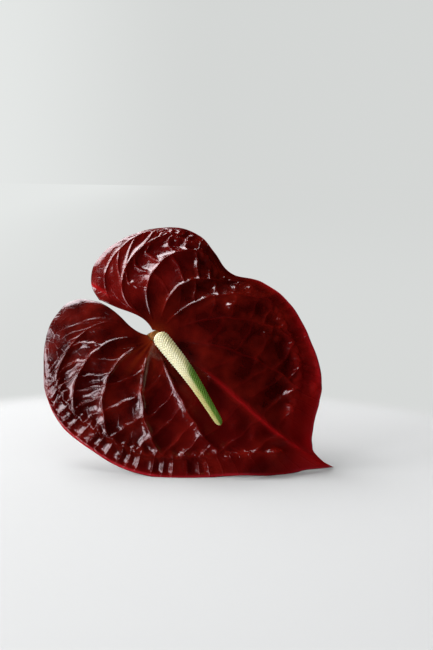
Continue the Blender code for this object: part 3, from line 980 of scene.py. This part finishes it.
@dataclass(frozen=True)
class SpadixFinish:
    """Cream florets that turn green toward the tip and on the shaded side, with a straw tint that is partly
    painted shade.
    """

    cream: Colour = (0.88, 0.85, 0.62)
    straw_and_shade: Colour = (0.56, 0.49, 0.17)
    green: Colour = (0.10, 0.22, 0.012)
    groove_shade: Colour = (0.50, 0.46, 0.20)
    stigma: Colour = (0.80, 0.76, 0.48)
    roughness: float = 0.5

    def build(self) -> bpy.types.Material:
        """Makes the material of the spadix."""
        material, tree, shader = new_material("spadix_florets")
        mottle = noise(tree, 400.0, 2.0)
        straw_and_shade = maths(tree, "MULTIPLY_ADD", mottle, 0.2, attribute(tree, "straw_and_shade"), clamp=True)
        colour = mixed(tree, straw_and_shade, self.cream, self.straw_and_shade)
        colour = mixed(tree, attribute(tree, "green"), colour, self.green)
        colour = mixed(tree, attribute(tree, "stigma"), colour, self.stigma)
        # painted shade: darker in the grooves between florets
        colour = mixed(tree, attribute(tree, "groove_shade"), colour, self.groove_shade, "MULTIPLY")
        tree.links.new(colour, shader.inputs["Base Color"])
        shader.inputs["Roughness"].default_value = self.roughness
        shader.inputs["Specular IOR Level"].default_value = 0.25
        shader.inputs["Subsurface Weight"].default_value = 0.08
        shader.inputs["Subsurface Radius"].default_value = (0.002, 0.0015, 0.0006)
        shader.inputs["Subsurface Scale"].default_value = 0.5
        tree.links.new(skin_normal(tree, mottle, 0.0001, 0.5, 2500.0), shader.inputs["Normal"])
        return material


@dataclass
class Spadix:
    """The finger-like spike, covered in small four-sided florets."""

    form: BladeForm = field(default_factory=BladeForm)
    finish: SpadixFinish = field(default_factory=SpadixFinish)
    base_radius: float = 4.1
    taper: float = 0.64
    base_rise: float = 4.0
    base_ahead: float = 1.9
    tip: tuple[float, float, float] = (36.5, -48.4, 28.4)
    bow: tuple[float, float, float] = (0.84, 0.0, 1.35)
    base_dome: float = 0.06
    tip_dome: float = 0.05
    columns: int = 24
    rings: int = 78
    floret_rise: float = 0.40
    fine: int = 5

    def build(self) -> bpy.types.Object:
        """Builds the florets on the spike and dresses them."""
        bm = wrapped_grid(self.columns * self.fine, self.rings * self.fine)
        plan = np.array([vert.co[:] for vert in bm.verts])
        tip = np.array(self.tip)
        along = self.form.axes[0]
        base = self.form.node_point() + self.base_rise * self.form.normal + self.base_ahead * along
        middle = (base + tip) / 2 + np.array(self.bow)
        centre, side, up = curve_frames((base, middle, tip), self.rings * self.fine + 1)
        ring = np.rint(plan[:, 1]).astype(int)
        column = np.mod(plan[:, 0], self.columns * self.fine) / self.fine
        row = plan[:, 1] / self.fine
        turn = 2 * np.pi * column / self.columns
        t = row / self.rings
        closed = dome(t / self.base_dome) * dome((1 - t) / self.tip_dome)
        p = np.mod((column + row) / 2 + 0.5, 1.0) * 2 - 1
        q = np.mod((column - row) / 2 + 0.5, 1.0) * 2 - 1
        far = np.maximum(np.abs(p), np.abs(q))
        seam = np.minimum(np.abs(p + q), np.abs(p - q)) / 2
        cushion = 1 - far**2.6
        tepals = -0.16 * np.exp(-((seam / 0.09) ** 2)) * ramp(far, 0.15, 0.45)
        knob = 0.30 * np.exp(-((np.hypot(p, q) / 0.24) ** 2))
        height = self.floret_rise * (cushion * 1.15 + tepals + knob - 0.35)
        radius = (self.base_radius * (1 - self.taper * ramp(t, 0.1, 1.15)) + height) * closed
        radius = np.maximum(radius, 0)
        spoke = np.cos(turn)[:, None] * side[ring] + np.sin(turn)[:, None] * up[ring]
        points = centre[ring] + radius[:, None] * spoke
        # how far a floret faces away from the window lights
        turned_from_lights = spoke @ np.array((0.84, 0.0, 0.55))
        green = ramp(turned_from_lights, -0.3, 0.3) * ramp(t + 0.12 * turned_from_lights, 0.44, 0.58)
        faint_green = 0.2 * ramp(t, 0.5, 0.9) * ramp(-turned_from_lights, -0.2, 0.4)
        facts = {
            # straw toward the tip, and painted shade as straw on the side turned from the lights
            "straw_and_shade": np.clip(0.6 * ramp(turned_from_lights, -0.1, 0.8) + 0.9 * ramp(t, 0.3, 0.75) - 0.1, 0, 1),
            "green": green + faint_green,
            # painted shade in the grooves between florets
            "groove_shade": ramp(far, 0.72, 1.0) * 0.75,
            "stigma": np.exp(-((np.hypot(p, q) / 0.25) ** 2)) * 0.35 * (1 - ramp(t, 0.4, 0.7)),
        }
        settle(bm, points, facts)
        return attach(finish_piece("spadix_spike", bm, self.finish.build()), "spadix")


@dataclass(frozen=True)
class PeduncleFinish:
    """Green stem with fine lines along it, reddish near the spathe, and a pale cut end."""

    green: Colour = (0.13, 0.20, 0.035)
    light: Colour = (0.24, 0.31, 0.08)
    blush: Colour = (0.33, 0.115, 0.018)
    pith: Colour = (0.62, 0.66, 0.38)
    roughness: float = 0.38

    def build(self) -> bpy.types.Material:
        """Makes the material of the peduncle."""
        material, tree, shader = new_material("peduncle_skin")
        streaks = noise(tree, 90.0, 4.0, (6.0, 0.6, 6.0))
        colour = mixed(tree, streaks, self.green, self.light)
        flecks = smoothstep(tree, noise(tree, 700.0, 1.0, (1.0, 0.5, 1.0)), 0.62, 0.70)
        colour = mixed(tree, maths(tree, "MULTIPLY", flecks, 0.5), colour, self.light)
        colour = mixed(tree, attribute(tree, "blush"), colour, self.blush)
        colour = mixed(tree, attribute(tree, "cut"), colour, self.pith)
        tree.links.new(colour, shader.inputs["Base Color"])
        tree.links.new(skin_normal(tree, streaks, 0.00012, 0.3, 1500.0), shader.inputs["Normal"])
        dull = maths(tree, "MULTIPLY_ADD", streaks, 0.15, self.roughness - 0.05)
        tree.links.new(dull, shader.inputs["Roughness"])
        return material


@dataclass
class Peduncle:
    """The stalk from its cut end to the node."""

    form: BladeForm = field(default_factory=BladeForm)
    finish: PeduncleFinish = field(default_factory=PeduncleFinish)
    stem_radius: float = 3.3
    neck_radius: float = 2.7
    neck_length: float = 12
    neck_above: float = 1.6
    sides: int = 48
    rings: int = 240
    route: tuple = ((-6, 140, 3.1), (-6, 112, 9.3), (-5, 84, 18.5), (-4, 56, 30), (-4, 30, 44))

    def build(self) -> bpy.types.Object:
        """Builds the stalk with its faint ridges and its cut end."""
        bm = wrapped_grid(self.sides, self.rings)
        plan = np.array([vert.co[:] for vert in bm.verts])
        along = self.form.axes[0]
        way = 0.93 * self.form.normal + 0.36 * along
        node = self.form.node_point()
        route = (*self.route, node - self.neck_length * way, node + self.neck_above * way)
        centre, side, up = curve_frames(route, self.rings - 5)
        step = np.clip(np.rint(plan[:, 1]).astype(int) - 3, 0, self.rings - 6)
        turn = 2 * np.pi * np.mod(plan[:, 0], self.sides) / self.sides
        share = step / (self.rings - 6)
        radius = self.stem_radius + (self.neck_radius - self.stem_radius) * ramp(share, 0.3, 0.95)
        radius = radius * (1 + 0.012 * np.cos(turn * 9 + 0.4 * np.sin(share * 5)))
        inset = np.minimum(plan[:, 1], self.rings - plan[:, 1])
        radius = radius * np.interp(inset, (0, 1, 2, 3), (0.0, 0.55, 0.93, 1.0))
        spoke = np.cos(turn)[:, None] * side[step] + np.sin(turn)[:, None] * up[step]
        points = centre[step] + radius[:, None] * spoke
        points[:, 2] = np.maximum(points[:, 2], 0.0)
        facts = {
            "blush": ramp(share, 0.93, 0.975),
            "cut": np.where(plan[:, 1] < 2.5, 1.0, 0.0),
        }
        settle(bm, points, facts)
        return attach(finish_piece("peduncle_stalk", bm, self.finish.build()), "peduncle")


@dataclass
class Studio:
    """Pale floor, grey backdrop, soft window-like light from the left, and the camera."""

    camera_place: tuple[float, float, float] = (0.015837, -0.620284, 0.164)
    pitch: float = math.radians(9.1)
    roll: float = math.radians(0.8)
    lens: float = 1063 / 650 * 36
    floor_colour: Colour = (0.563, 0.571, 0.573)
    backdrop_colour: Colour = (0.652, 0.668, 0.658)
    backdrop_near_window: Colour = (0.775, 0.795, 0.785)
    window_colour: Colour = (1.0, 0.99, 1.0)
    lamp_target: tuple[float, float, float] = (0.0, -0.02, 0.06)
    floor_glow_end: float = -0.65
    backdrop_glow_end: float = -1.3
    pool_centre: tuple[float, float, float] = (0.0, 0.145, 0.0)
    pool_edge: Span = (0.268, 0.228)
    fill_power: float = 0.9
    world_light: float = 0.06
    world_seen: float = 0.6

    def plain_sheet(self, name: str, size: float, place: Matrix, material: bpy.types.Material) -> None:
        """Adds one square sheet of floor or backdrop.

        Args:
            name: Name of the sheet.
            size: Half its side, in metres.
            place: Where it stands.
            material: Its material.
        """
        bm = bmesh.new()
        bmesh.ops.create_grid(bm, x_segments=1, y_segments=1, size=size, matrix=place)
        mesh = bpy.data.meshes.new(name)
        bm.to_mesh(mesh)
        bm.free()
        mesh.materials.append(material)
        sheet = bpy.data.objects.new(name, mesh)
        sheet.visible_glossy = False
        bpy.context.scene.collection.objects.link(sheet)

    def seamless(self, name: str, pool: bool) -> bpy.types.Material:
        """Material of floor or backdrop: a grey that glows, with painted window light making it lighter
        toward the window.

        Args:
            name: Name of the material.
            pool: Whether the flower lies on a paler place in it.

        Returns:
            The material.
        """
        material, tree, shader = new_material(name)
        coords = add_node(tree, "ShaderNodeTexCoord").outputs["Object"]
        split = add_node(tree, "ShaderNodeSeparateXYZ", {0: coords})
        glow_end = self.floor_glow_end if pool else self.backdrop_glow_end
        # painted light: the glow grows lighter toward the window
        near_window = smoothstep(tree, split.outputs[0], 0.0, glow_end)
        glow = mixed(tree, near_window, self.backdrop_colour, self.backdrop_near_window)
        base = (0.02, 0.02, 0.02)
        if pool:
            centred = add_node(tree, "ShaderNodeMapping", {"Vector": coords, "Location": self.pool_centre})
            distance = add_node(tree, "ShaderNodeVectorMath", {0: centred.outputs[0]}, operation="LENGTH")
            share = smoothstep(tree, distance.outputs["Value"], *self.pool_edge)
            base = mixed(tree, share, base, self.floor_colour)
            glow = mixed(tree, share, glow, (0.0, 0.0, 0.0))
            tree.links.new(base, shader.inputs["Base Color"])
        else:
            shader.inputs["Base Color"].default_value = (*base, 1.0)
        tree.links.new(glow, shader.inputs["Emission Color"])
        shader.inputs["Emission Strength"].default_value = 1.0
        shader.inputs["Roughness"].default_value = 0.8
        shader.inputs["Specular IOR Level"].default_value = 0.0
        return material

    def floor(self) -> None:
        """A wide floor with a paler place round the flower, and an even backdrop behind it."""
        self.plain_sheet("floor", 6.0, Matrix.Identity(4), self.seamless("pale_floor", True))
        stand = Matrix.Translation((0, 5.0, 3.0)) @ Matrix.Rotation(math.pi / 2, 4, "X")
        self.plain_sheet("backdrop", 8.0, stand, self.seamless("grey_backdrop", False))

    def lamp(self, name: str, place: tuple[float, float, float], size: Span, power: float) -> None:
        """Adds one rectangular soft light that points at the flower and shows in its wax.

        Args:
            name: Name of the light.
            place: Where it stands, in metres.
            size: Its width and height.
            power: Watts.
        """
        data = bpy.data.lights.new(name, "AREA")
        data.shape = "RECTANGLE"
        data.size, data.size_y = size
        data.energy = power
        data.color = self.window_colour
        lamp = bpy.data.objects.new(name, data)
        way = Vector(self.lamp_target) - Vector(place)
        lamp.matrix_world = Matrix.Translation(place) @ way.to_track_quat("-Z", "Y").to_matrix().to_4x4()
        lamp.visible_camera = False
        bpy.context.scene.collection.objects.link(lamp)

    def lights(self) -> None:
        """Three window-like lights from the left, and an even fill from above."""
        self.lamp("window", (-1.498, -0.151, 0.607), (0.85, 0.85), 20.4)
        self.lamp("near_window", (-1.136, -0.974, 0.659), (0.36, 0.5), 6.8)
        self.lamp("far_window", (-0.7, 0.757, 1.271), (1.0, 1.0), 28.3)
        data = bpy.data.lights.new("fill", "SUN")
        data.energy = self.fill_power
        data.angle = math.radians(120)
        data.color = (1.0, 0.995, 0.985)
        sun = bpy.data.objects.new("fill", data)
        tilted = Matrix.Rotation(math.radians(-20), 4, "Y")
        sun.matrix_world = tilted @ Matrix.Rotation(math.radians(12), 4, "X")
        sun.visible_glossy = False
        bpy.context.scene.collection.objects.link(sun)
        world = bpy.data.worlds.new("studio")
        world.use_nodes = True
        tree = world.node_tree
        background = tree.nodes["Background"]
        background.inputs["Color"].default_value = (0.97, 1.0, 0.99, 1.0)
        seen = add_node(tree, "ShaderNodeLightPath").outputs["Is Camera Ray"]
        strength = maths(tree, "MULTIPLY_ADD", seen, self.world_seen, self.world_light)
        tree.links.new(strength, background.inputs["Strength"])
        bpy.context.scene.world = world
        world.cycles_visibility.glossy = False
        bpy.context.scene.view_settings.view_transform = "Standard"

    def camera(self) -> None:
        """The camera, at the photograph's viewing angle."""
        data = bpy.data.cameras.new("camera")
        data.sensor_width = 36
        data.lens = self.lens
        data.clip_start = 0.01
        ahead = Vector((0, math.cos(self.pitch), -math.sin(self.pitch)))
        upward = Vector((0, math.sin(self.pitch), math.cos(self.pitch)))
        level = Vector((1, 0, 0))
        right = level * math.cos(self.roll) + upward * math.sin(self.roll)
        up = upward * math.cos(self.roll) - level * math.sin(self.roll)
        turned = Matrix((right, up, -ahead)).transposed().to_4x4()
        camera = bpy.data.objects.new("camera", data)
        camera.matrix_world = Matrix.Translation(self.camera_place) @ turned
        bpy.context.scene.collection.objects.link(camera)
        bpy.context.scene.camera = camera

    def build(self) -> None:
        """Sets up everything round the flower."""
        self.floor()
        self.lights()
        self.camera()


def main() -> None:
    """Builds the flower and the studio in order."""
    logging.basicConfig(level=logging.INFO, format="%(message)s")
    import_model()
    Studio().build()
    for part in (Spathe(), Spadix(), Peduncle()):
        piece = part.build()
        LOG.info("built %s", piece.name)


if __name__ == "__main__":
    main()
